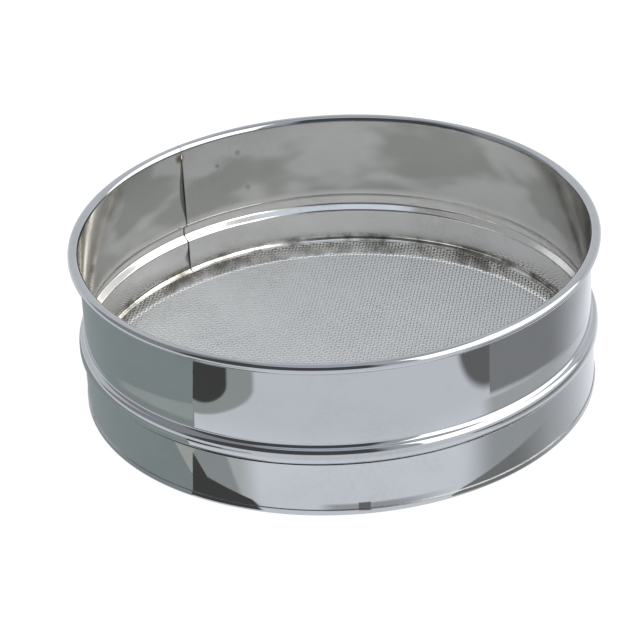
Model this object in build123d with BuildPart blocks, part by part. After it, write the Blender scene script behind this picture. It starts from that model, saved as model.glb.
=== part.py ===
from build123d import *
from math import cos, degrees, radians, sin
import os

# A round soil sieve of polished stainless sheet, standing on its foot.
# Millimetres, +Z up, origin at the middle of the base, on the surface that it stands on.
# It is made of a rolled body strip with a wired rim, the wire inside that rim, a disc of
# woven wire cloth with its edge turned up, and a foot hoop pressed on from below, which
# traps the turned-up cloth against the body.

# Overall sizes
overall_height = 99.0
bore_radius = 150.0

# Stock
sheet = 0.5
rim_wire_diameter = 5.2
cloth_wire_diameter = 0.45

# Clearances
rim_wire_clearance = 0.05
cloth_clearance = 0.02
hoop_top_clearance = 0.4

# Wired rim: the strip is curled outward round the rim wire
curl_wrap_angle = 322.0
rim_wire_gap = 1.5
rim_wire_gap_azimuth = 20.0

# Stiffening bead: a rounded shoulder on top, a gently crowned face, a flank back to the wall
bead_shoulder_height = 46.2
bead_depth = 3.9
shoulder_angle = 62.0
crown_angle = 20.0
slope_angle = 62.0
shoulder_radius = 3.6
crown_corner_radius = 2.6
crown_radius = 11.0
crown_flat = 1.7
slope_corner_radius = 1.9
slope_foot_radius = 1.9

# Inturned foot of the body strip, which the cloth is drawn over
inturn_centre_height = 15.5
inturn_radius = 4.0
inturn_angle = 70.0

# Lapped seam of the body strip
seam_azimuth = 127.6
seam_gap = 0.15
lap_length = 45.0
joggle_length = 3.0
lap_top_clearance = 0.4

# Wire cloth
cloth_collar_height = 7.0

# Foot hoop, with its lower edge folded outward and up
hem_height = 3.3
hem_gap = 0.06
hem_edge_radius = 0.3
foot_seam_azimuth = 152.0
foot_lap_length = 15.0

# Worked-out sizes
curl_radius = rim_wire_diameter / 2 + rim_wire_clearance + sheet
curl_centre_radius = bore_radius + curl_radius
curl_centre_height = overall_height - curl_radius
body_outer_radius = bore_radius + sheet
inturn_outer_radius = inturn_radius + sheet
inturn_centre_radius = bore_radius - inturn_radius
cloth_thickness = 2 * cloth_wire_diameter
cloth_bend_radius = inturn_outer_radius + cloth_clearance + cloth_thickness
cloth_bottom = inturn_centre_height - cloth_bend_radius
hoop_inner_radius = inturn_centre_radius + cloth_bend_radius + cloth_clearance
hoop_outer_radius = hoop_inner_radius + sheet
hem_outer_radius = hoop_outer_radius + hem_gap + sheet


def arc_depth(radius, first_angle, second_angle):
    """Sideways travel of an arc that turns between two angles from the vertical."""
    return radius * abs(cos(radians(first_angle)) - cos(radians(second_angle)))


def arc_height(radius, first_angle, second_angle):
    """Downward travel of an arc that turns between two angles from the vertical."""
    return radius * abs(sin(radians(first_angle)) - sin(radians(second_angle)))


def sweep_angle(length, radius):
    """Angle about the sieve's axis that a length round the wall covers."""
    return degrees(length / radius)


def plane_at(azimuth):
    """Upright plane that holds the sieve's axis, turned to an azimuth."""
    return Plane.XZ.rotated((0, 0, azimuth))


# Straight runs that bring the bead out to its depth and back to the wall again
shoulder_length = (
    bead_depth
    - arc_depth(shoulder_radius, 0, shoulder_angle)
    - arc_depth(crown_corner_radius, crown_angle, shoulder_angle)
    - arc_depth(crown_radius, 0, crown_angle)
) / sin(radians(shoulder_angle))
slope_length = (
    bead_depth
    - arc_depth(slope_corner_radius, 0, slope_angle)
    - arc_depth(slope_foot_radius, 0, slope_angle)
) / sin(radians(slope_angle))
slope_foot_height = (
    bead_shoulder_height
    - arc_height(shoulder_radius, 0, shoulder_angle)
    - shoulder_length * cos(radians(shoulder_angle))
    - arc_height(crown_corner_radius, crown_angle, shoulder_angle)
    - arc_height(crown_radius, 0, crown_angle)
    - crown_flat
    - arc_height(slope_corner_radius, 0, slope_angle)
    - slope_length * cos(radians(slope_angle))
)
bead_bottom_height = slope_foot_height - arc_height(slope_foot_radius, 0, slope_angle)


def draw_wall(distance, top, bottom):
    """Draw the wall with its bead, from top to bottom, at a distance outside the bore face."""
    face = bore_radius + distance
    upper_wall = Line((face, top), (face, bead_shoulder_height))
    shoulder_bend = JernArc(upper_wall @ 1, (0, -1), shoulder_radius - distance, shoulder_angle)
    shoulder = PolarLine(shoulder_bend @ 1, shoulder_length, direction=shoulder_bend % 1)
    crown_corner = JernArc(
        shoulder @ 1, shoulder % 1, crown_corner_radius + distance, crown_angle - shoulder_angle
    )
    crown = JernArc(crown_corner @ 1, crown_corner % 1, crown_radius + distance, -crown_angle)
    flat = Line(crown @ 1, crown @ 1 - Vector(0, crown_flat))
    slope_corner = JernArc(flat @ 1, (0, -1), slope_corner_radius + distance, -slope_angle)
    slope = PolarLine(slope_corner @ 1, slope_length, direction=slope_corner % 1)
    slope_foot = JernArc(slope @ 1, slope % 1, slope_foot_radius - distance, slope_angle)
    return Line(slope_foot @ 1, (face, bottom))


# Body: one strip, curled over the rim wire, beaded, turned in at its foot and lapped
lap_top = curl_centre_height - curl_radius - lap_top_clearance
hoop_top = slope_foot_height - hoop_top_clearance
seam_gap_angle = sweep_angle(seam_gap, bore_radius)
lap_angle = sweep_angle(lap_length, bore_radius)
joggle_angle = sweep_angle(joggle_length, bore_radius)
foot_lap_angle = sweep_angle(foot_lap_length, hoop_outer_radius)
lap_bottom = hoop_top + lap_top_clearance


def draw_strip(distance):
    """Draw one face of the body strip, and return its two ends."""
    curl = CenterArc(
        (curl_centre_radius, curl_centre_height),
        curl_radius - distance,
        180 - curl_wrap_angle,
        curl_wrap_angle,
    )
    wall = draw_wall(distance, curl_centre_height, inturn_centre_height)
    inturn = JernArc(wall @ 1, (0, -1), inturn_radius + distance, -inturn_angle)
    return curl @ 0, inturn @ 1


def draw_cloth_face(bend_radius):
    """Draw one face of the cloth from the axis to the top of its collar, and return that end."""
    face_height = inturn_centre_height - bend_radius
    flat = Line((0, face_height), (inturn_centre_radius, face_height))
    bend = JernArc(flat @ 1, (1, 0), bend_radius, 90)
    collar = Line(bend @ 1, bend @ 1 + Vector(0, cloth_collar_height))
    return collar @ 1


with BuildPart() as body_hoop:
    with BuildSketch(plane_at(seam_azimuth)) as strip_section:
        with BuildLine():
            bore_face_ends = draw_strip(0)
            outer_face_ends = draw_strip(sheet)
            Line(bore_face_ends[0], outer_face_ends[0])
            Line(bore_face_ends[1], outer_face_ends[1])
        make_face()
    revolve(axis=Axis.Z, revolution_arc=360 - seam_gap_angle)
    with BuildSketch(plane_at(seam_azimuth - lap_angle)) as lap_section:
        with BuildLine():
            draw_wall(sheet, lap_top, inturn_centre_height)
            draw_wall(2 * sheet, lap_top, inturn_centre_height)
            for height in (lap_top, inturn_centre_height):
                Line((body_outer_radius, height), (body_outer_radius + sheet, height))
        make_face()
        with Locations((body_outer_radius, 0)):
            Rectangle(4 * bead_depth, 2 * lap_bottom, mode=Mode.SUBTRACT)
    revolve(axis=Axis.Z, revolution_arc=lap_angle + joggle_angle)
body_hoop.part.label = "body_hoop"

# Rim wire: a round wire bent to a ring inside the curl, its ends almost meeting
with BuildPart() as rim_wire:
    with BuildSketch(plane_at(rim_wire_gap_azimuth)) as wire_section:
        with Locations((curl_centre_radius, curl_centre_height)):
            Circle(rim_wire_diameter / 2)
    revolve(axis=Axis.Z, revolution_arc=360 - sweep_angle(rim_wire_gap, curl_centre_radius))
rim_wire.part.label = "rim_wire"

# Wire cloth: a flat disc, its edge drawn over the inturned foot and up round the body
with BuildPart() as wire_cloth:
    with BuildSketch(Plane.XZ) as cloth_section:
        with BuildLine():
            lower_end = draw_cloth_face(cloth_bend_radius)
            upper_end = draw_cloth_face(cloth_bend_radius - cloth_thickness)
            Line(lower_end, upper_end)
            Line((0, cloth_bottom), (0, cloth_bottom + cloth_thickness))
        make_face()
    revolve(axis=Axis.Z)
wire_cloth.part.label = "wire_cloth"

# Foot hoop: a plain hoop over the cloth's collar, with a pressed hem at its lower edge
with BuildPart() as foot_hoop:
    with BuildSketch(plane_at(foot_seam_azimuth)) as hoop_section:
        with Locations((hoop_inner_radius, 0)):
            Rectangle(sheet, hoop_top, align=Align.MIN)
            Rectangle(hem_outer_radius - hoop_inner_radius, hem_height, align=Align.MIN)
        with Locations((hoop_outer_radius, sheet)):
            Rectangle(hem_gap, hem_height, align=Align.MIN, mode=Mode.SUBTRACT)
        fillet(hoop_section.vertices().group_by(Axis.Y)[0], radius=hem_edge_radius)
    revolve(axis=Axis.Z, revolution_arc=360 - sweep_angle(seam_gap, hoop_inner_radius))
    with BuildSketch(plane_at(foot_seam_azimuth - foot_lap_angle)) as foot_lap_section:
        with Locations((hoop_outer_radius, hem_height + lap_top_clearance)):
            Rectangle(sheet, hoop_top - hem_height - lap_top_clearance, align=Align.MIN)
    revolve(axis=Axis.Z, revolution_arc=foot_lap_angle + joggle_angle)
foot_hoop.part.label = "foot_hoop"

os.makedirs("parts", exist_ok=True)
for piece in (body_hoop, rim_wire, wire_cloth, foot_hoop):
    export_step(piece.part, f"parts/{piece.part.label}.step")
    box = piece.part.bounding_box()
    print(piece.part.label, round(piece.part.volume), "mm3", box.min, box.max)
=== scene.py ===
# %% [markdown]
# # A soil sieve in polished steel
#
# A gardener's sieve is a rolled hoop of thin stainless sheet with woven wire cloth across
# its foot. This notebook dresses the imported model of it: the sheet metal and the cloth are
# modelled again at full detail, in the same places, and every surface gets its own finish.
# Everything is in metres, with the origin in the middle of the base and +Z up.

# %% Load the frame
import math
import random

import bmesh
import bpy
from mathutils import Matrix, Vector, noise


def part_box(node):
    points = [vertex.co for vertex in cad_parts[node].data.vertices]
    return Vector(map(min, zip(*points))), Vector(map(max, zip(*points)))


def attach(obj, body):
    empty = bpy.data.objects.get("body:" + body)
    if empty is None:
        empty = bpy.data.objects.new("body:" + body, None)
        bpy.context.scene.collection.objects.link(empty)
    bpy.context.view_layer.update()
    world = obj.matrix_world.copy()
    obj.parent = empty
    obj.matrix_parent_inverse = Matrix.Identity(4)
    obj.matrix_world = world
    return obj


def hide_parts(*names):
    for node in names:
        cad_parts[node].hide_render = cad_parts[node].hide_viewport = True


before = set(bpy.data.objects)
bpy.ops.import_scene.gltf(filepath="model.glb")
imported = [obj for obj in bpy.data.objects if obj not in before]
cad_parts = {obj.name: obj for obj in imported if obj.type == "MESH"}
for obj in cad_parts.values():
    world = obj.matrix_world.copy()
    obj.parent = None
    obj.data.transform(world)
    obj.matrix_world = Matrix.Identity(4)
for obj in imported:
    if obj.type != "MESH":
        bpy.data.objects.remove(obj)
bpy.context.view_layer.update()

# %% [markdown]
# ## Sizes
#
# The frame says where each piece is. What the frame's boxes can't say, such as the radius of
# a bend, is named here in millimetres and turned into metres once.

# %% Sizes of the sheet metal, the cloth and the frame
MM = 0.001
sheet = 0.5 * MM
bore_radius = 150.0 * MM
curl_radius = 3.15 * MM
curl_wrap = math.radians(322)

wire_low, wire_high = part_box("rim_wire")
hoop_low, hoop_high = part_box("foot_hoop")
cloth_low, cloth_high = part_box("wire_cloth")

curl_height = round((wire_low.z + wire_high.z) / 2, 5)
hoop_top = round(hoop_high.z, 5)
print("curl centre at", curl_height, "hoop top at", hoop_top, "cloth", cloth_low.z, cloth_high.z)

# %% [markdown]
# ## A pen for drawing sections
#
# Both hoops are strips of sheet, rolled to a section and bent round to a ring. The section
# could be typed in as a list of points, but a strip is really a run of straights and bends,
# so it is drawn as one. The pen holds the last vertex and its heading, which is the angle
# from straight down, turning outward. A straight extrudes that vertex. A bend spins it about
# a centre on the inside of the turn. Straights get short end steps, because smooth shading
# spreads a bend's tilt over the whole of the next face.

# %% The pen
END_STEP = 0.25 * MM


def heading_vector(heading):
    """Direction in the XZ plane for an angle from straight down, turning outward."""
    return Vector((math.sin(heading), 0, -math.cos(heading)))


def side_vector(heading):
    """Direction to the outward side of the pen's heading."""
    return Vector((math.cos(heading), 0, math.sin(heading)))


def draw_straight(section, tip, heading, length, pieces=1):
    """Extend the section by a straight, with a short step at each end."""
    middle = (length - 2 * END_STEP) / pieces
    steps = [END_STEP] + [middle] * pieces + [END_STEP] if length > 4 * END_STEP else [length]
    for step in steps:
        tip = bmesh.ops.extrude_vert_indiv(section, verts=[tip])["verts"][0]
        bmesh.ops.translate(section, verts=[tip], vec=step * heading_vector(heading))
    return tip


def draw_bend(section, tip, heading, radius, turn, steps):
    """Extend the section by an arc; a positive turn swings the heading outward."""
    side = 1 if turn > 0 else -1
    centre = tip.co + side * radius * side_vector(heading)
    spun = bmesh.ops.spin(
        section, geom=[tip], cent=centre, axis=(0, -1, 0), angle=turn, steps=steps
    )
    tip = [item for item in spun["geom_last"] if isinstance(item, bmesh.types.BMVert)][0]
    return tip, heading + turn


# %% [markdown]
# ## The body strip's section
#
# From its free end the strip goes round the rim wire, down the wall, out and back over the
# stiffening bead, down again, and in under the cloth. The face that is drawn is the bore
# face, so the curl shows it on its outside.

# %% Draw the body strip
dent_zone_foot = 60.0 * MM
bead_top = 46.2 * MM
bead_foot = 31.7 * MM
lap_step = 0.55 * MM
bead_depth = 3.9 * MM
shoulder_bend, crown_corner, crown_bend = 3.6 * MM, 2.6 * MM, 11.0 * MM
crown_flat, slope_corner, slope_foot = 1.0 * MM, 1.9 * MM, 1.9 * MM
shoulder_angle, crown_angle, slope_angle = (math.radians(a) for a in (62, 20, 50))
inturn_bend, inturn_angle, inturn_height = 4.0 * MM, math.radians(70), 15.5 * MM


def depth_of(radius, first, second):
    """How far outward an arc travels between two headings."""
    return radius * abs(math.cos(first) - math.cos(second))


shoulder_run = (
    bead_depth
    - depth_of(shoulder_bend, 0, shoulder_angle)
    - depth_of(crown_corner, shoulder_angle, crown_angle)
    - depth_of(crown_bend, crown_angle, 0)
) / math.sin(shoulder_angle)
slope_run = (
    bead_depth - depth_of(slope_corner, 0, slope_angle) - depth_of(slope_foot, 0, slope_angle)
) / math.sin(slope_angle)


def draw_body_section(section):
    """Draw the bore face of the body strip, from the curl's free end to the inturned edge."""
    start = math.pi - curl_wrap
    centre = Vector((bore_radius + curl_radius, 0, curl_height))
    first = centre + curl_radius * Vector((math.cos(start), 0, math.sin(start)))
    tip = bmesh.ops.create_vert(section, co=first)["vert"][0]
    tip, heading = draw_bend(section, tip, -curl_wrap, curl_radius, curl_wrap, 30)
    tip = draw_straight(section, tip, heading, curl_height - dent_zone_foot, 22)
    tip = draw_straight(section, tip, heading, dent_zone_foot - bead_top, 7)
    tip, heading = draw_bend(section, tip, heading, shoulder_bend, shoulder_angle, 8)
    tip = draw_straight(section, tip, heading, shoulder_run)
    tip, heading = draw_bend(section, tip, heading, crown_corner, crown_angle - shoulder_angle, 5)
    tip, heading = draw_bend(section, tip, heading, crown_bend, -crown_angle, 5)
    tip = draw_straight(section, tip, heading, crown_flat)
    tip, heading = draw_bend(section, tip, heading, slope_corner, -slope_angle, 6)
    tip = draw_straight(section, tip, heading, slope_run)
    tip, heading = draw_bend(section, tip, heading, slope_foot, slope_angle, 6)
    tip = draw_straight(section, tip, heading, tip.co.z - inturn_height, 10)
    draw_bend(section, tip, heading, inturn_bend, -inturn_angle, 8)


# %% [markdown]
# ## Rolling the strip round
#
# A spin about the upright axis turns the section into a hoop. It runs clockwise from the
# seam's outer edge, in fine columns near the seam, where the sheet is dented and joggled,
# and in coarser ones round the rest. The seam is a lap: the strip's last edge dips outward
# and carries on behind its first edge as a tongue, so one more short spin, of only the
# wall's own edge, makes that tongue.

# %% Roll a section round the axis
def roll(strip, edge, degrees, columns):
    """Spin an edge of the strip clockwise about the axis, and return the new edge."""
    spun = bmesh.ops.spin(
        strip, geom=edge, cent=(0, 0, 0), axis=(0, 0, 1),
        angle=-math.radians(degrees), steps=columns,
    )
    return spun["geom_last"]


def part_of_edge(edge, lowest, highest):
    """Keep the vertices of an edge within two heights, and the edges between them."""
    kept = {v for v in edge if isinstance(v, bmesh.types.BMVert) and lowest <= v.co.z <= highest}
    lines = [e for e in edge if isinstance(e, bmesh.types.BMEdge) and kept.issuperset(e.verts)]
    return sorted(kept, key=lambda v: v.co.z) + lines


def azimuth_of(point):
    """Angle of a point about the axis, in degrees from 0 to 360."""
    return math.degrees(math.atan2(point.y, point.x)) % 360


def push_out(vertex, distance):
    """Move a vertex straight away from the axis."""
    radius = math.hypot(vertex.co.x, vertex.co.y)
    vertex.co.x *= 1 + distance / radius
    vertex.co.y *= 1 + distance / radius


def ease(value, low, high):
    """Smooth step from 0 at low to 1 at high; low may be the larger."""
    share = min(max((value - low) / (high - low), 0.0), 1.0)
    return share * share * (3 - 2 * share)


# %% [markdown]
# ## Dents, waves and the lap
#
# Thin sheet is never quite round. Long shallow waves make the reflections drift, the spot
# welds of the lap leave small dimples, and the last edge dips under the first one, deepest
# half way between the places where it is held. All three are moved into the vertices, because
# they change the outline of reflections in a way that a bump map can't from close by. Where
# the sheet dips, the vertices also carry how much painted shade the finish lays there.

# %% Shape the rolled strip
seam_azimuth = 127.6
seam_gap = 0.15
pocket_depth = 0.5 * MM
tongue_degrees = 17.2
wave_depth = 0.05 * MM
wave_length = 46 * MM
dimples = [  # azimuth in degrees, then height, width and depth in millimetres
    (118.1, 77.9, 2.2, 0.34),
    (116.6, 84.5, 2.0, 0.26),
    (112.4, 83.7, 2.6, 0.34),
    (110.5, 57.7, 2.8, 0.30),
    (121.5, 70.0, 3.0, 0.12),
]


def wave(point):
    """Shallow waviness of rolled sheet, the same on both sides of it."""
    return wave_depth * noise.noise(point / wave_length)


def dimple(azimuth, height):
    """Depth of the weld dimples at a place on the wall, in metres."""
    total = 0.0
    for place, level, width, depth in dimples:
        along = math.radians(azimuth - place) * bore_radius / MM
        away = math.hypot(along, height / MM - level) / width
        total += depth * MM * math.exp(-away * away)
    return total


def lens_share(height):
    """How far the lap springs open, from 0 where it is held to 1 half way between."""
    upper = (height - bead_top) / (curl_height - bead_top)
    lower = (height - inturn_height + 2 * MM) / (bead_foot - inturn_height)
    if 0 < upper < 1:
        return math.sin(math.pi * upper ** 0.8) ** 2
    if 0 < lower < 1:
        return math.sin(math.pi * lower) ** 2
    return 0.0


def shape_strip(strip, tongue):
    """Give the rolled strip its waves, dimples and lap, and mark where they get painted shade."""
    # This layer holds painted shade: how dark the finish makes the dimples, the tongue and the lap's
    # dip.
    painted_seam_shade = strip.verts.layers.float.new("painted_seam_shade")
    for v in strip.verts:
        azimuth, height = azimuth_of(v.co), v.co.z
        on_tongue = v in tongue
        push = wave(v.co) * ease(height, inturn_height - 2 * MM, bead_foot)
        if not on_tongue and 60 < azimuth < seam_azimuth:
            push += dimple(azimuth, height)
            v[painted_seam_shade] = min(dimple(azimuth, height) / (0.4 * MM), 1.0) ** 2
        share = lens_share(height)
        along = math.radians(azimuth - seam_azimuth) * bore_radius
        if on_tongue:
            push += lap_step + pocket_depth * share * ease(-along, 9 * MM, 0)
            v[painted_seam_shade] = 1.0
        elif along >= 0:
            reach = (0.8 + 3.0 * share) * MM
            held = ease(height, curl_height, curl_height - 3 * MM)
            held *= 1 - 0.25 * ease(height, bead_foot, inturn_height)
            dip = max(1 - along / reach, 0.0) ** 0.7
            push += (lap_step + pocket_depth * share) * held * dip
            v[painted_seam_shade] = held * dip
        push_out(v, push)


# %% [markdown]
# ## From a face to a sheet
#
# The drawn face has no thickness yet. Solidify gives it the sheet's 0.5 mm on the side away
# from the bore, which is the far side of its normals. Each face then gets a finish: polished
# outside and round the rim, a plainer mill finish inside, and sheared metal on the edges.

# %% Thicken a strip and sort its faces
POLISHED, BORE, SHEARED = 0, 1, 2


def face_inward(strip):
    """Turn every face of the drawn surface to the bore."""
    bmesh.ops.remove_doubles(strip, verts=strip.verts, dist=0.002 * MM)
    bmesh.ops.recalc_face_normals(strip, faces=strip.faces)
    wall = max(strip.faces, key=lambda f: f.calc_area())
    middle = wall.calc_center_median()
    if wall.normal.x * middle.x + wall.normal.y * middle.y > 0:
        bmesh.ops.reverse_faces(strip, faces=strip.faces)


def thicken(strip, bore_ceiling):
    """Give the strip its thickness and mark each face's finish."""
    face_inward(strip)
    drawn = set(strip.faces)
    grown = bmesh.ops.solidify(strip, geom=list(strip.faces), thickness=sheet)["geom"]
    backs = {item for item in grown if isinstance(item, bmesh.types.BMFace)}
    for face in strip.faces:
        face.smooth = True
        face.material_index = POLISHED
        middle = face.calc_center_median()
        facing = face.normal.x * middle.x + face.normal.y * middle.y
        if face not in drawn and face not in backs:
            face.material_index = SHEARED
        elif facing < -0.1 * middle.xy.length and middle.z < bore_ceiling:
            face.material_index = BORE
    return strip


def make_piece(name, built, materials, slot, *nodes):
    """Turn a bmesh into a piece of the object that stands for some CAD nodes."""
    mesh = bpy.data.meshes.new(name)
    built.to_mesh(mesh)
    built.free()
    for material in materials:
        mesh.materials.append(material)
    mesh.set_sharp_from_angle(angle=math.radians(50))
    piece = bpy.data.objects.new(name, mesh)
    bpy.context.scene.collection.objects.link(piece)
    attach(piece, "root")
    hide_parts(*nodes)
    mesh.calc_loop_triangles()
    print(name, "triangles:", len(mesh.loop_triangles))
    return piece


# %% [markdown]
# ## Effects that the finishes share
#
# The steel's finishes differ in how strong each effect is, not in what the effects are, so
# each effect is a node group that is built once: the drift of rolled sheet, fine upright
# scratches from the polishing belt, and the cloudy marks that hands and dust leave. A group
# puts out a plain value. The material around it decides where that value goes.

# %% Helpers for node groups
def new_group(name, inputs, outputs):
    """Make a shader node group with float sockets, and return it with its two ends."""
    group = bpy.data.node_groups.new(name, "ShaderNodeTree")
    for label, default in inputs.items():
        kind = "NodeSocketFloat" if isinstance(default, float) else "NodeSocketColor"
        socket = group.interface.new_socket(name=label, in_out="INPUT", socket_type=kind)
        socket.default_value = default
    for label, kind in outputs.items():
        group.interface.new_socket(name=label, in_out="OUTPUT", socket_type=kind)
    return group, group.nodes.new("NodeGroupInput"), group.nodes.new("NodeGroupOutput")


def add_node(tree, kind, **settings):
    """Add a node and set its properties."""
    node = tree.nodes.new(kind)
    for name, value in settings.items():
        setattr(node, name, value)
    return node


def add_math(tree, operation, *values):
    """Add a Math node; each value is a number or a socket to read."""
    node = add_node(tree, "ShaderNodeMath", operation=operation)
    for place, value in enumerate(values):
        if isinstance(value, (int, float)):
            node.inputs[place].default_value = value
        else:
            tree.links.new(value, node.inputs[place])
    return node.outputs[0]


def add_noise(tree, vector, scale, detail=2.0, roughness=0.5):
    """Add a noise texture and return its value socket."""
    node = add_node(tree, "ShaderNodeTexNoise")
    tree.links.new(vector, node.inputs["Vector"])
    if isinstance(scale, (int, float)):
        node.inputs["Scale"].default_value = scale
    else:
        tree.links.new(scale, node.inputs["Scale"])
    node.inputs["Detail"].default_value = detail
    node.inputs["Roughness"].default_value = roughness
    return node.outputs["Fac"]


def add_map(tree, value, low, high, to_low=0.0, to_high=1.0):
    """Add a smooth Map Range and return its result."""
    node = add_node(tree, "ShaderNodeMapRange", interpolation_type="SMOOTHSTEP")
    tree.links.new(value, node.inputs["Value"])
    for label, number in zip(("From Min", "From Max", "To Min", "To Max"), (low, high, to_low, to_high)):
        if isinstance(number, (int, float)):
            node.inputs[label].default_value = number
        else:
            tree.links.new(number, node.inputs[label])
    return node.outputs["Result"]


def object_place(tree, scale=(1, 1, 1)):
    """Object coordinates, stretched along some axes."""
    place = add_node(tree, "ShaderNodeTexCoord")
    stretch = add_node(tree, "ShaderNodeMapping")
    stretch.inputs["Scale"].default_value = scale
    tree.links.new(place.outputs["Object"], stretch.inputs["Vector"])
    return stretch.outputs["Vector"]


# %% Build the shared effects
def make_drift():
    """Height of long waves and faint orange peel in rolled, polished sheet."""
    group, start, end = new_group(
        "sheet_drift", {"Long": 1.0, "Short": 1.0}, {"Height": "NodeSocketFloat"}
    )
    long_wave = add_noise(group, object_place(group, (1, 1, 0.8)), 28.0, 1.0)
    short_wave = add_noise(group, object_place(group, (1, 1, 0.6)), 150.0, 2.0)
    total = add_math(
        group, "ADD",
        add_math(group, "MULTIPLY", long_wave, start.outputs["Long"]),
        add_math(group, "MULTIPLY", short_wave, start.outputs["Short"]),
    )
    group.links.new(total, end.inputs["Height"])
    return group


def make_scratches():
    """Fine upright lines: where they are, and how deep."""
    group, start, end = new_group(
        "upright_scratches", {"Density": 0.5},
        {"Lines": "NodeSocketFloat", "Height": "NodeSocketFloat"},
    )
    fine = add_noise(group, object_place(group, (1, 1, 0.018)), 900.0, 3.0, 0.65)
    patches = add_noise(group, object_place(group, (1, 1, 0.5)), 35.0, 2.0)
    lowered = add_math(group, "MULTIPLY", start.outputs["Density"], 0.3)
    threshold = add_math(group, "SUBTRACT", 0.78, lowered)
    lines = add_map(group, fine, threshold, add_math(group, "ADD", threshold, 0.12))
    here = add_math(group, "MULTIPLY", lines, add_map(group, patches, 0.35, 0.65))
    group.links.new(here, end.inputs["Lines"])
    group.links.new(fine, end.inputs["Height"])
    return group


def make_smudges():
    """Cloudy marks of handling: a broad cloud with fine specks in it."""
    group, start, end = new_group(
        "handling_smudges", {"Size": 1.0}, {"Mask": "NodeSocketFloat"}
    )
    scale = add_math(group, "DIVIDE", 24.0, start.outputs["Size"])
    cloud = add_map(group, add_noise(group, object_place(group), scale, 4.0, 0.6), 0.42, 0.68)
    specks = add_map(group, add_noise(group, object_place(group), 420.0, 2.0), 0.4, 0.75)
    mask = add_math(group, "MULTIPLY", cloud, add_math(group, "MULTIPLY_ADD", specks, 0.6, 0.4))
    group.links.new(mask, end.inputs["Mask"])
    return group


drift_group = make_drift()
scratch_group = make_scratches()
smudge_group = make_smudges()


def place_group(tree, group, **values):
    """Place a shared effect in a material, with its own values."""
    node = add_node(tree, "ShaderNodeGroup", node_tree=group)
    for label, value in values.items():
        node.inputs[label].default_value = value
    return node


# %% [markdown]
# ## Stainless steel in five finishes
#
# Steel has no colour of its own beyond a cool grey; what reads as colour is the room in it.
# So the finishes differ in roughness and in how true the surface is. Outside, the strip is
# mirror polished. Inside it keeps the mill's duller face, with upright lines and a darker,
# browner tone over its upper stretch. Sheared edges are rougher. The cloth is drawn wire with
# a soft sheen, and the rim's wire, which hardly shows, is plain and dull.

# %% Make the steel finishes
def add_mix(tree, amount, first, second):
    """Mix two colours by a mask; each is a tuple or a socket."""
    node = add_node(tree, "ShaderNodeMix", data_type="RGBA")
    tree.links.new(amount, node.inputs["Factor"])
    for label, colour in (("A", first), ("B", second)):
        socket = [s for s in node.inputs if s.name == label and s.type == "RGBA"][0]
        if isinstance(colour, tuple):
            socket.default_value = colour
        else:
            tree.links.new(colour, socket)
    return [s for s in node.outputs if s.type == "RGBA"][0]


def steel(name, colour, smudged, rough, smudge_rough, scratch, drift, scratch_depth):
    """A stainless finish from the shared effects; drift is its long and short waves."""
    material = bpy.data.materials.new(name)
    material.use_nodes = True
    tree = material.node_tree
    shader = tree.nodes["Principled BSDF"]
    shader.inputs["Metallic"].default_value = 1.0
    smudge = place_group(tree, smudge_group, Size=1.0).outputs["Mask"]
    lines = place_group(tree, scratch_group, Density=scratch)
    tint = add_mix(tree, smudge, colour, smudged)
    tree.links.new(tint, shader.inputs["Base Color"])
    roughness = add_math(tree, "MULTIPLY_ADD", smudge, smudge_rough, rough)
    roughness = add_math(tree, "MULTIPLY_ADD", lines.outputs["Lines"], 0.12, roughness)
    tree.links.new(roughness, shader.inputs["Roughness"])
    waves = place_group(tree, drift_group, Long=drift[0], Short=drift[1])
    height = add_math(
        tree, "MULTIPLY_ADD", lines.outputs["Height"], scratch_depth, waves.outputs["Height"]
    )
    bump = add_node(tree, "ShaderNodeBump")
    bump.inputs["Distance"].default_value = 0.0001
    tree.links.new(height, bump.inputs["Height"])
    tree.links.new(bump.outputs["Normal"], shader.inputs["Normal"])
    return material, tree, shader, tint


outer_polish, _, _, _ = steel(
    "outer_polish", (0.55, 0.565, 0.585, 1), (0.50, 0.515, 0.53, 1),
    0.03, 0.05, 0.3, (0.8, 0.05), 0.02,
)
bore_finish, bore_tree, bore_shader, bore_tint = steel(
    "bore_finish", (0.90, 0.885, 0.865, 1), (0.78, 0.765, 0.735, 1),
    0.11, 0.08, 0.7, (1.8, 0.4), 0.2,
)
sheared_edge, _, _, _ = steel(
    "sheared_edge", (0.74, 0.74, 0.74, 1), (0.55, 0.55, 0.55, 1),
    0.34, 0.2, 0.9, (1.0, 1.0), 0.6,
)
wire_finish, wire_tree, wire_shader, wire_tint = steel(
    "wire_finish", (0.66, 0.68, 0.705, 1), (0.56, 0.575, 0.59, 1),
    0.55, 0.15, 0.5, (1.0, 0.6), 0.2,
)
rim_wire_finish, _, _, _ = steel(
    "rim_wire_finish", (0.45, 0.45, 0.45, 1), (0.30, 0.29, 0.28, 1),
    0.30, 0.25, 0.5, (1.0, 0.8), 0.4,
)
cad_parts["rim_wire"].data.materials.clear()
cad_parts["rim_wire"].data.materials.append(rim_wire_finish)
finishes = (outer_polish, bore_finish, sheared_edge, wire_finish, rim_wire_finish)
print("finishes:", [finish.name for finish in finishes])


# %% [markdown]
# Two finishes have marks of their own. The bore's upper stretch is darker and browner in
# broad clouds, the lap and the weld dimples carry painted shade, blotches of painted dark
# reflection lie along the foot, and the weld at the rim left a small heat tint. The cloth has
# painted shade in a ring where it meets the wall. Each mark is a mask made from the place on the piece.

# %% Add the bore's upper tone, its painted shade and dark reflections, and the cloth's painted shade
def mark(tree, shader, tint, *layers):
    """Lay colours over a tint, each through its own mask, and feed the shader."""
    for mask, colour in layers:
        tint = add_mix(tree, mask, tint, colour)
    tree.links.new(tint, shader.inputs["Base Color"])


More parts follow.
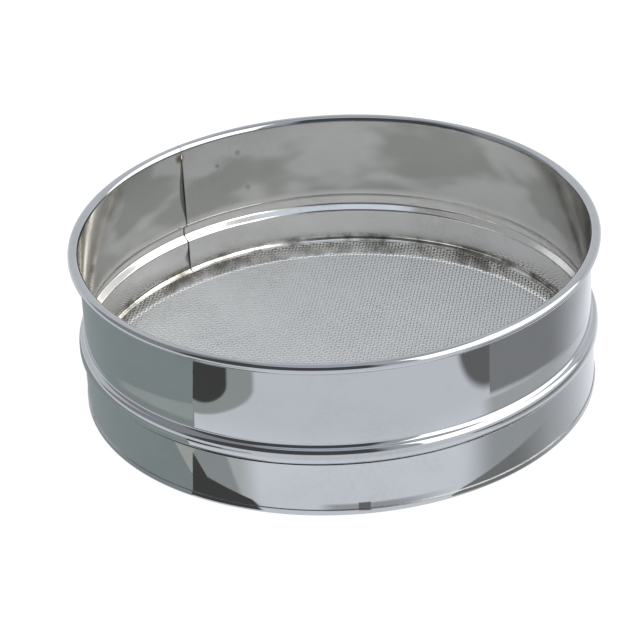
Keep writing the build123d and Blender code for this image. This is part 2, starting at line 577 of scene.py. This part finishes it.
def distance_to(tree, spot, scale=(1, 1, 1)):
    """Distance from a spot in Object coordinates."""
    apart = add_node(tree, "ShaderNodeVectorMath", operation="DISTANCE")
    tree.links.new(object_place(tree, scale), apart.inputs[0])
    apart.inputs[1].default_value = spot
    return apart.outputs["Value"]


bore_parts = add_node(bore_tree, "ShaderNodeSeparateXYZ")
bore_tree.links.new(object_place(bore_tree), bore_parts.inputs[0])
level = bore_parts.outputs["Z"]
broad = add_noise(bore_tree, object_place(bore_tree, (1, 1, 2.2)), 17.0, 2.0)
clouds = add_map(bore_tree, broad, 0.40, 0.58)
# The bore above the bead is darker and browner, in broad clouds.
upper_bore_tone = add_math(
    bore_tree, "MULTIPLY", add_math(bore_tree, "MULTIPLY_ADD", clouds, 0.6, 0.4),
    add_map(bore_tree, level, 44 * MM, 50 * MM),
)
# Painted dark reflections: blotches darken the inturned foot and break up its bright band.
fine = add_noise(bore_tree, object_place(bore_tree), 60.0, 4.0, 0.6)
blotches = add_map(bore_tree, fine, 0.40, 0.66)
by_the_foot = add_map(bore_tree, level, 17.6 * MM, 14.4 * MM)
foot_dark_reflection = add_math(bore_tree, "MULTIPLY", blotches, by_the_foot)
# Painted shade, near black, in the lap, its tongue and the weld dimples, read from the vertices.
painted_seam_shade = add_node(bore_tree, "ShaderNodeAttribute", attribute_name="painted_seam_shade").outputs["Fac"]
weld_angle = math.radians(128.3)
weld_height = 92 * MM
weld_spot = (bore_radius * math.cos(weld_angle), bore_radius * math.sin(weld_angle), weld_height)
heat = add_map(bore_tree, distance_to(bore_tree, weld_spot), 4.5 * MM, 1 * MM)
mark(
    bore_tree, bore_shader, bore_tint,
    (upper_bore_tone, (0.52, 0.52, 0.485, 1)),
    (foot_dark_reflection, (0.24, 0.232, 0.21, 1)),
    (add_map(bore_tree, painted_seam_shade, 0.0, 1.0, 0.0, 0.85), (0.10, 0.097, 0.085, 1)),
    (heat, (0.30, 0.23, 0.15, 1)),
)
# Painted shade: the cloth darkens in a ring next to the wall, which shades it.
cloth_painted_shade = add_map(wire_tree, distance_to(wire_tree, (0, 0, 0), (1, 1, 0)), 132 * MM, 147 * MM)
mark(wire_tree, wire_shader, wire_tint, (cloth_painted_shade, (0.17, 0.158, 0.13, 1)))

# %% Build the body hoop
def build_body():
    """Build the body strip: section, roll, lap, waves and thickness."""
    strip = bmesh.new()
    draw_body_section(strip)
    first_edge = list(strip.verts) + list(strip.edges)
    turn = Matrix.Rotation(math.radians(seam_azimuth - seam_gap / 2), 3, "Z")
    bmesh.ops.rotate(strip, verts=strip.verts, cent=(0, 0, 0), matrix=turn)
    edge = roll(strip, first_edge, 25, 72)
    edge = roll(strip, edge, 332 - seam_gap, 270)
    edge = roll(strip, edge, 3, 26)
    tongue_edge = part_of_edge(edge, hoop_top + 0.4 * MM, curl_height - curl_radius - 0.4 * MM)
    before = set(strip.verts)
    roll(strip, tongue_edge, tongue_degrees, 16)
    tongue = {v for v in strip.verts if v not in before}
    shape_strip(strip, tongue)
    return thicken(strip, curl_height - 0.5 * MM)


body_sheet = make_piece(
    "body_hoop_sheet", build_body(), [outer_polish, bore_finish, sheared_edge],
    "polished_sheet", "body_hoop",
)

# %% [markdown]
# ## The foot hoop
#
# A plain hoop over the turned-up cloth, with its lower edge folded outward and pressed flat
# so that the sieve stands on a rounded, safe edge. The fold is drawn as one tight bend.

# %% Build the foot hoop
hoop_inner = 151.44 * MM
fold_radius = 0.53 * MM
hem_height = 3.3 * MM
foot_seam_azimuth = 152.0
foot_lap_degrees = 5.7


def build_foot():
    """Build the foot hoop with its folded hem and its lapped seam at the back."""
    strip = bmesh.new()
    tip = bmesh.ops.create_vert(strip, co=(hoop_inner, 0, hoop_top))["vert"][0]
    tip = draw_straight(strip, tip, 0.0, hoop_top - hem_height - 1 * MM, 6)
    tip = draw_straight(strip, tip, 0.0, hem_height + 1 * MM - fold_radius, 3)
    tip, heading = draw_bend(strip, tip, 0.0, fold_radius, math.pi, 8)
    draw_straight(strip, tip, heading, hem_height - fold_radius, 3)
    first_edge = list(strip.verts) + list(strip.edges)
    turn = Matrix.Rotation(math.radians(foot_seam_azimuth), 3, "Z")
    bmesh.ops.rotate(strip, verts=strip.verts, cent=(0, 0, 0), matrix=turn)
    edge = roll(strip, first_edge, 356 - seam_gap, 470)
    edge = roll(strip, edge, 4, 14)
    lap_edge = part_of_edge(edge, hem_height + 0.4 * MM, hoop_top)
    before = set(strip.verts)
    roll(strip, lap_edge, foot_lap_degrees, 10)
    for v in strip.verts:
        push = 0.6 * wave(v.co + Vector((0, 0, 0.3))) * ease(v.co.z, 0, hem_height)
        along = math.radians(azimuth_of(v.co) - foot_seam_azimuth) * bore_radius
        if v not in before:
            push += lap_step
        elif 0 <= along < 3 * MM:
            push += lap_step * ease(along, 3 * MM, 0) * ease(v.co.z, hem_height, hem_height + 3 * MM)
        push_out(v, push)
    return thicken(strip, hoop_top)


foot_sheet = make_piece(
    "foot_hoop_sheet", build_foot(), [outer_polish, bore_finish, sheared_edge],
    "polished_sheet", "foot_hoop",
)

# %% [markdown]
# ## The woven wire cloth
#
# The cloth is a plain weave of 0.45 mm wire at twelve meshes to the inch. Every wire is
# modelled, because the openings and the crimp are what make the cloth look like cloth when
# the light changes. A wire starts as a six-sided rod, cut into rings at every half pitch.
# Its rings go up and down by a cosine, but a warp wire and a weft wire rise and fall
# together, so at each crossing they sit at the same height and pass through each other.
# The disc is then bent: beyond the flat, each ring follows the curve over the
# inturned foot and goes up the collar, at the same length along the surface.

# %% Sizes of the weave
pitch = 2.117 * MM
wire = 0.45 * MM
cloth_turn = math.radians(-9.5)
flat_radius = 146.0 * MM
bend_radius = 4.97 * MM
collar_height = cloth_high.z - inturn_height
cloth_middle = cloth_low.z + wire
disc_radius = flat_radius + bend_radius * math.pi / 2 + collar_height
spread = random.Random(7)


def over_the_edge(point):
    """Place a point of the flat cloth on the bent one."""
    reach = math.hypot(point.x, point.y)
    beyond = reach - flat_radius
    if beyond <= 0:
        return Vector((point.x, point.y, cloth_middle + point.z))
    bend = min(beyond / bend_radius, math.pi / 2)
    rise = max(beyond - bend_radius * math.pi / 2, 0.0)
    arm = bend_radius - point.z
    radius = flat_radius + arm * math.sin(bend)
    height = cloth_middle + bend_radius - arm * math.cos(bend) + rise
    return Vector((point.x / reach * radius, point.y / reach * radius, height))


def make_wire(number, across):
    """Build one wire of the flat weave; across is 0 for the warp and 1 for the weft."""
    rod = bmesh.new()
    offset = (number + 0.5) * pitch + spread.uniform(-0.02, 0.02) * MM
    half = math.sqrt(max(disc_radius ** 2 - offset ** 2, 0.0))
    lay = Matrix.Translation((offset, 0, 0)) @ Matrix.Rotation(math.radians(-90), 4, "X")
    bmesh.ops.create_cone(
        rod, cap_ends=True, segments=6, radius1=wire / 2, radius2=wire / 2,
        depth=2 * half, matrix=lay,
    )
    long_edges = [e for e in rod.edges if e.calc_length() > half]
    bmesh.ops.subdivide_edges(rod, edges=long_edges, cuts=max(int(4 * half / pitch), 2))
    for v in rod.verts:
        phase = math.pi * (v.co.y / pitch - 0.5 + number + across)
        v.co.z += wire / 2 * math.cos(phase)
        if across:
            v.co.x, v.co.y = -v.co.y, v.co.x
    return rod


def build_wires(across, group, groups):
    """Build one group of parallel wires, bent over the foot of the body."""
    cloth = bmesh.new()
    scratch = bpy.data.meshes.new("scratch")
    last = int(disc_radius / pitch - 0.6)
    numbers = range(-last - 1, last + 1)
    share = math.ceil(len(numbers) / groups)
    for number in numbers[group * share:(group + 1) * share]:
        rod = make_wire(number, across)
        rod.to_mesh(scratch)
        rod.free()
        cloth.from_mesh(scratch)
    bpy.data.meshes.remove(scratch)
    turn = Matrix.Rotation(cloth_turn, 3, "Z")
    for v in cloth.verts:
        v.co = over_the_edge(turn @ v.co)
    bmesh.ops.recalc_face_normals(cloth, faces=cloth.faces)
    for face in cloth.faces:
        face.smooth = True
    return cloth


WIRE_GROUPS = 3
for across, kind in enumerate(("warp", "weft")):
    for group in range(WIRE_GROUPS):
        make_piece(
            f"{kind}_wires_{group + 1}", build_wires(across, group, WIRE_GROUPS),
            [wire_finish], "cloth_wire_steel", "wire_cloth",
        )

# %% [markdown]
# ## The studio
#
# Polished metal shows the room more than itself, so the room is part of the picture: a
# white floor, a pale ceiling, a dark wall in front, a large window-like light on the right,
# and a few self-lit boards near the sieve, which are painted reflections. The far room is
# painted by direction in the world, and only gloss sees it. Everything else is lit by an even white sky.

# %% Paint the room
def make_room():
    """World shader: even white for light, a painted studio for reflections."""
    world = bpy.data.worlds.new("studio")
    world.use_nodes = True
    tree = world.node_tree
    tree.nodes.clear()
    toward = add_node(tree, "ShaderNodeTexCoord").outputs["Generated"]
    parts = add_node(tree, "ShaderNodeSeparateXYZ")
    tree.links.new(toward, parts.inputs[0])
    rise = add_math(tree, "DEGREES", add_math(tree, "ARCSINE", parts.outputs["Z"]))
    turn = add_math(tree, "DEGREES", add_math(tree, "ARCTAN2", parts.outputs["Y"], parts.outputs["X"]))

    def window(left, right, bottom, top, soft):
        """Mask of a soft-edged window in azimuth and elevation."""
        sides = add_math(
            tree, "MULTIPLY",
            add_map(tree, turn, left - soft, left + soft),
            add_map(tree, turn, right - soft, right + soft, 1.0, 0.0),
        )
        ends = add_math(
            tree, "MULTIPLY",
            add_map(tree, rise, bottom - soft, bottom + soft),
            add_map(tree, rise, top - soft, top + soft, 1.0, 0.0),
        )
        return add_math(tree, "MULTIPLY", sides, ends)

    colour = (0.52, 0.54, 0.56, 1)
    for edges, paint in (  # azimuths, then elevations, then softness, in degrees
        ((-181, -160, -40, 70, 3), (0.34, 0.35, 0.37, 1)),
        ((150, 181, -40, 70, 3), (0.34, 0.35, 0.37, 1)),
        ((-160, -74, 0, 64, 5), (0.09, 0.09, 0.095, 1)),
        ((-58, 25, -8, 60, 2), (2.4, 2.35, 2.2, 1)),
        ((30, 150, -5, 60, 6), (0.75, 0.77, 0.8, 1)),
        ((-150, -30, 63, 81, 2), (0.62, 0.69, 0.78, 1)),
    ):
        colour = add_mix(tree, window(*edges), colour, paint)
    glossy = add_node(tree, "ShaderNodeLightPath").outputs["Is Glossy Ray"]
    colour = add_mix(tree, glossy, (1.12, 1.12, 1.12, 1), colour)
    background = add_node(tree, "ShaderNodeBackground")
    tree.links.new(colour, background.inputs["Color"])
    end = add_node(tree, "ShaderNodeOutputWorld")
    tree.links.new(background.outputs[0], end.inputs["Surface"])
    bpy.context.scene.world = world


make_room()


# %% Lay the floor
def make_floor():
    """A wide pale floor that glows and leaves hardly a shadow, with painted shade under the sieve and a
    painted reflection tint that only gloss sees.
    """
    built = bmesh.new()
    bmesh.ops.create_grid(built, x_segments=2, y_segments=2, size=12)
    mesh = bpy.data.meshes.new("floor")
    built.to_mesh(mesh)
    built.free()
    floor = bpy.data.objects.new("floor", mesh)
    bpy.context.scene.collection.objects.link(floor)
    paint = bpy.data.materials.new("floor_paint")
    paint.use_nodes = True
    shader = paint.node_tree.nodes["Principled BSDF"]
    shader.inputs["Roughness"].default_value = 1.0
    shader.inputs["Specular IOR Level"].default_value = 0.0
    tree = paint.node_tree
    reach = distance_to(tree, (0, 0, 0), (1, 1, 0))
    far_painted_reflection = add_map(tree, reach, 200 * MM, 245 * MM)
    glossy = add_node(tree, "ShaderNodeLightPath").outputs["Is Glossy Ray"]
    # Painted shade: the glow is dimmed inside the sieve's footprint.
    clear_of_painted_shade = add_map(tree, reach, bore_radius - 1 * MM, bore_radius + 1 * MM)
    glow = add_mix(tree, clear_of_painted_shade, (0.50, 0.515, 0.53, 1), (1, 1, 1, 1))
    # Painted reflection: gloss sees the floor tinted, and darker from 200 to 245 mm out.
    painted_reflection_tint = add_mix(tree, far_painted_reflection, (0.889, 0.917, 0.972, 1), (0.72, 0.745, 0.79, 1))
    glow = add_mix(tree, add_math(tree, "MULTIPLY", clear_of_painted_shade, glossy), glow, painted_reflection_tint)
    tree.links.new(glow, shader.inputs["Emission Color"])
    shader.inputs["Base Color"].default_value = (0.2, 0.2, 0.2, 1)
    shader.inputs["Emission Strength"].default_value = 0.86
    mesh.materials.append(paint)


make_floor()


# %% [markdown]
# ## Boards on the floor, as painted reflections
#
# Each board is a painted reflection: a self-lit card that only gloss sees, so it shows in the
# steel and nowhere else. The upright walls mirror the floor just in front of them, so each
# board lies on the floor. It could be placed by trial, but its outline is easier to choose on
# the wall, where it shows: its corners are azimuths and heights on the wall, and the mirror
# law carries each of them down to the floor. A board fades at its soft edges, or has a round
# lower corner, through a mask on its own UV map.

# %% Lay the boards
CAMERA_SPOT = Vector((0, -1.5505, 0.9305))


def painted_reflection_paint(name, shade, edges, corner):
    """A self-lit paint for a card that only gloss sees, a painted reflection, with soft edges or a round
    corner.
    """
    paint = bpy.data.materials.new(name)
    paint.use_nodes = True
    tree = paint.node_tree
    tree.nodes.clear()
    parts = add_node(tree, "ShaderNodeSeparateXYZ")
    tree.links.new(add_node(tree, "ShaderNodeUVMap", uv_map="across").outputs["UV"], parts.inputs[0])
    u, v = parts.outputs["X"], parts.outputs["Y"]
    left, right, low, high = edges
    masks = [
        add_map(tree, place, start, end)
        for place, start, end, width in (
            (u, 0, left, left), (u, 1, 1 - right, right), (v, 0, low, low), (v, 1, 1 - high, high),
        ) if width
    ]
    if corner:
        side, level, feather = corner
        across = add_math(
            tree, "DIVIDE", add_math(tree, "SUBTRACT", u, side), max(side, 1.0 - side)
        )
        share = add_math(tree, "DIVIDE", v, level)
        down = add_math(tree, "MAXIMUM", add_math(tree, "SUBTRACT", 1.0, share), 0.0)
        away = add_math(
            tree, "SQRT",
            add_math(tree, "MULTIPLY_ADD", across, across, add_math(tree, "MULTIPLY", down, down)),
        )
        masks.append(add_map(tree, away, 1.0, 1.0 - feather))
    glow = add_node(tree, "ShaderNodeEmission")
    glow.inputs["Color"].default_value = (*shade, 1)
    clear = add_node(tree, "ShaderNodeBsdfTransparent")
    blend = add_node(tree, "ShaderNodeMixShader")
    blend.inputs[0].default_value = 1.0
    if masks:
        total = masks[0]
        for mask in masks[1:]:
            total = add_math(tree, "MULTIPLY", total, mask)
        tree.links.new(total, blend.inputs[0])
    tree.links.new(clear.outputs[0], blend.inputs[1])
    tree.links.new(glow.outputs[0], blend.inputs[2])
    end = add_node(tree, "ShaderNodeOutputMaterial")
    tree.links.new(blend.outputs[0], end.inputs["Surface"])
    return paint


def mirrored(azimuth, height, radius, lift):
    """The spot at a height over the floor that the camera sees mirrored in an upright wall."""
    angle = math.radians(azimuth)
    out = Vector((math.cos(angle), math.sin(angle), 0))
    spot = Vector((radius * out.x, radius * out.y, height * MM))
    ray = spot - CAMERA_SPOT
    ray -= 2 * ray.dot(out) * out
    return spot - ray * (spot.z - lift) / ray.z


def place_painted_reflection(name, shade, radius, lift, corners, edges=(0, 0, 0, 0), corner=None):
    """Lay a painted-reflection card where the wall mirrors it; its corners are azimuths and heights on
    the wall.
    """
    built = bmesh.new()
    built.loops.layers.uv.new("across")
    bmesh.ops.create_grid(built, x_segments=24, y_segments=6, size=0.5, calc_uvs=True)
    low_left, low_right, high_right, high_left = (Vector(c) for c in corners)
    for v in built.verts:
        u, w = v.co.x + 0.5, v.co.y + 0.5
        azimuth, height = low_left.lerp(low_right, u).lerp(high_left.lerp(high_right, u), w)
        v.co = mirrored(azimuth, height, radius, lift * MM)
    mesh = bpy.data.meshes.new(name)
    built.to_mesh(mesh)
    built.free()
    card = bpy.data.objects.new(name, mesh)
    bpy.context.scene.collection.objects.link(card)
    mesh.materials.append(painted_reflection_paint(name + "_paint", shade, edges, corner))
    for kind in ("camera", "diffuse", "transmission", "volume_scatter", "shadow"):
        setattr(card, "visible_" + kind, False)


# The cards' shades are painted reflections: the tone each card lays into the steel.
UPPER, LOWER = bore_radius + sheet, hoop_inner + sheet
UNDER, OVER, TOP = 0.6, 0.9, 1.2
DARK, MID, PALE = (0.080, 0.079, 0.076), (0.427, 0.45, 0.441), (0.46, 0.50, 0.477)

place_painted_reflection(
    "left_board", (0.335, 0.380, 0.376), UPPER, UNDER,
    [(-172, 1), (-124.6, 1), (-122.3, 101), (-172, 101)],
)
place_painted_reflection(
    "left_strip", PALE, UPPER, OVER,
    [(-150, 49.5), (-124, 49), (-123.2, 62.3), (-150, 53.5)],
    edges=(0.3, 0, 0.25, 0.1),
)
place_painted_reflection(
    "left_gleam", (0.555, 0.58, 0.535), LOWER, OVER,
    [(-125, 16), (-124.4, 16), (-123.8, 33), (-129, 33)],
)
place_painted_reflection(
    "left_halo", MID, UPPER, OVER,
    [(-123.7, 54.6), (-108.6, 63), (-107.9, 101), (-122.4, 101)],
    corner=(0.2, 0.45, 0.1),
)
place_painted_reflection(
    "left_dark", DARK, UPPER, TOP,
    [(-123.5, 62), (-114.8, 67), (-114, 101), (-122.3, 101)],
    corner=(0.35, 0.35, 0.12),
)
place_painted_reflection(
    "near_pale", (0.62, 0.64, 0.64), LOWER, UNDER,
    [(-125.1, 2), (-107.5, 2), (-107.9, 33), (-124.1, 33)],
    edges=(0, 0.35, 0, 0),
)
place_painted_reflection(
    "near_grey", (0.40, 0.425, 0.42), LOWER, OVER,
    [(-125.1, 2), (-111.5, 2), (-115.2, 33), (-124.1, 33)],
    edges=(0, 0.12, 0, 0),
)
place_painted_reflection(
    "near_spike", DARK, LOWER, TOP,
    [(-125.1, 1.5), (-121.3, 1.5), (-121, 17), (-124.2, 31)],
    edges=(0, 0, 0, 0.05),
)
place_painted_reflection(
    "near_wedge", DARK, LOWER, TOP,
    [(-121.35, 1.5), (-107.5, 1.5), (-110, 6.8), (-121, 17)],
    edges=(0, 0.1, 0, 0.1),
)
place_painted_reflection(
    "front_strip", (0.50, 0.51, 0.525), LOWER, OVER,
    [(-97, 3.4), (-65, 3), (-65, 8), (-97, 8)],
    edges=(0.15, 0.5, 0, 0.4),
)
place_painted_reflection(
    "front_block", (0.22, 0.22, 0.22), LOWER, TOP,
    [(-87.9, 3.1), (-85.1, 2.6), (-85, 7.8), (-87.9, 7.8)],
    edges=(0.1, 0.1, 0, 0.1),
)
place_painted_reflection(
    "right_dark", (0.186, 0.189, 0.191), UPPER, OVER,
    [(-65.7, 60), (-56.9, 59.5), (-56.6, 101), (-65.4, 101)],
    corner=(1, 0.95, 0.2),
)
place_painted_reflection(
    "right_grey", (0.31, 0.315, 0.32), UPPER, OVER,
    [(-57, 56), (-14, 50), (-14, 101), (-56.6, 101)],
    edges=(0, 0.6, 0.1, 0),
)
place_painted_reflection(
    "right_pale", (0.55, 0.57, 0.57), UPPER, UNDER,
    [(-60, 44), (-14, 44), (-14, 57), (-60, 57)],
    edges=(0.1, 0.6, 0, 0.2),
)
place_painted_reflection(
    "right_foot", (0.47, 0.49, 0.495), LOWER, UNDER,
    [(-66, 1), (-14, 1), (-14, 33), (-66, 33)],
    edges=(0.2, 0.6, 0, 0),
)
place_painted_reflection(
    "right_wedge", (0.26, 0.265, 0.265), LOWER, OVER,
    [(-67.5, 1.5), (-38, 1.5), (-38, 26), (-67.5, 2.6)],
    edges=(0, 0.5, 0, 0.15),
)

# %% [markdown]
# ## Camera
#
# A long lens from well back and above looks into the sieve, turned a little about its own
# axis, so that the rim runs slightly downhill to the left.

# %% Place the camera
def place_camera():
    """Camera at the viewing height, with its aim, roll and focal length."""
    lens = bpy.data.cameras.new("camera")
    lens.lens = 171.43
    lens.sensor_width = 36.0
    lens.clip_end = 50.0
    camera = bpy.data.objects.new("camera", lens)
    bpy.context.scene.collection.objects.link(camera)
    aim = (
        Matrix.Rotation(math.radians(0.50), 4, "Z")
        @ Matrix.Rotation(math.radians(60.20), 4, "X")
        @ Matrix.Rotation(math.radians(-3.33), 4, "Z")
    )
    camera.matrix_world = Matrix.Translation(CAMERA_SPOT) @ aim
    bpy.context.scene.camera = camera


place_camera()
bpy.context.scene.view_settings.view_transform = "Standard"
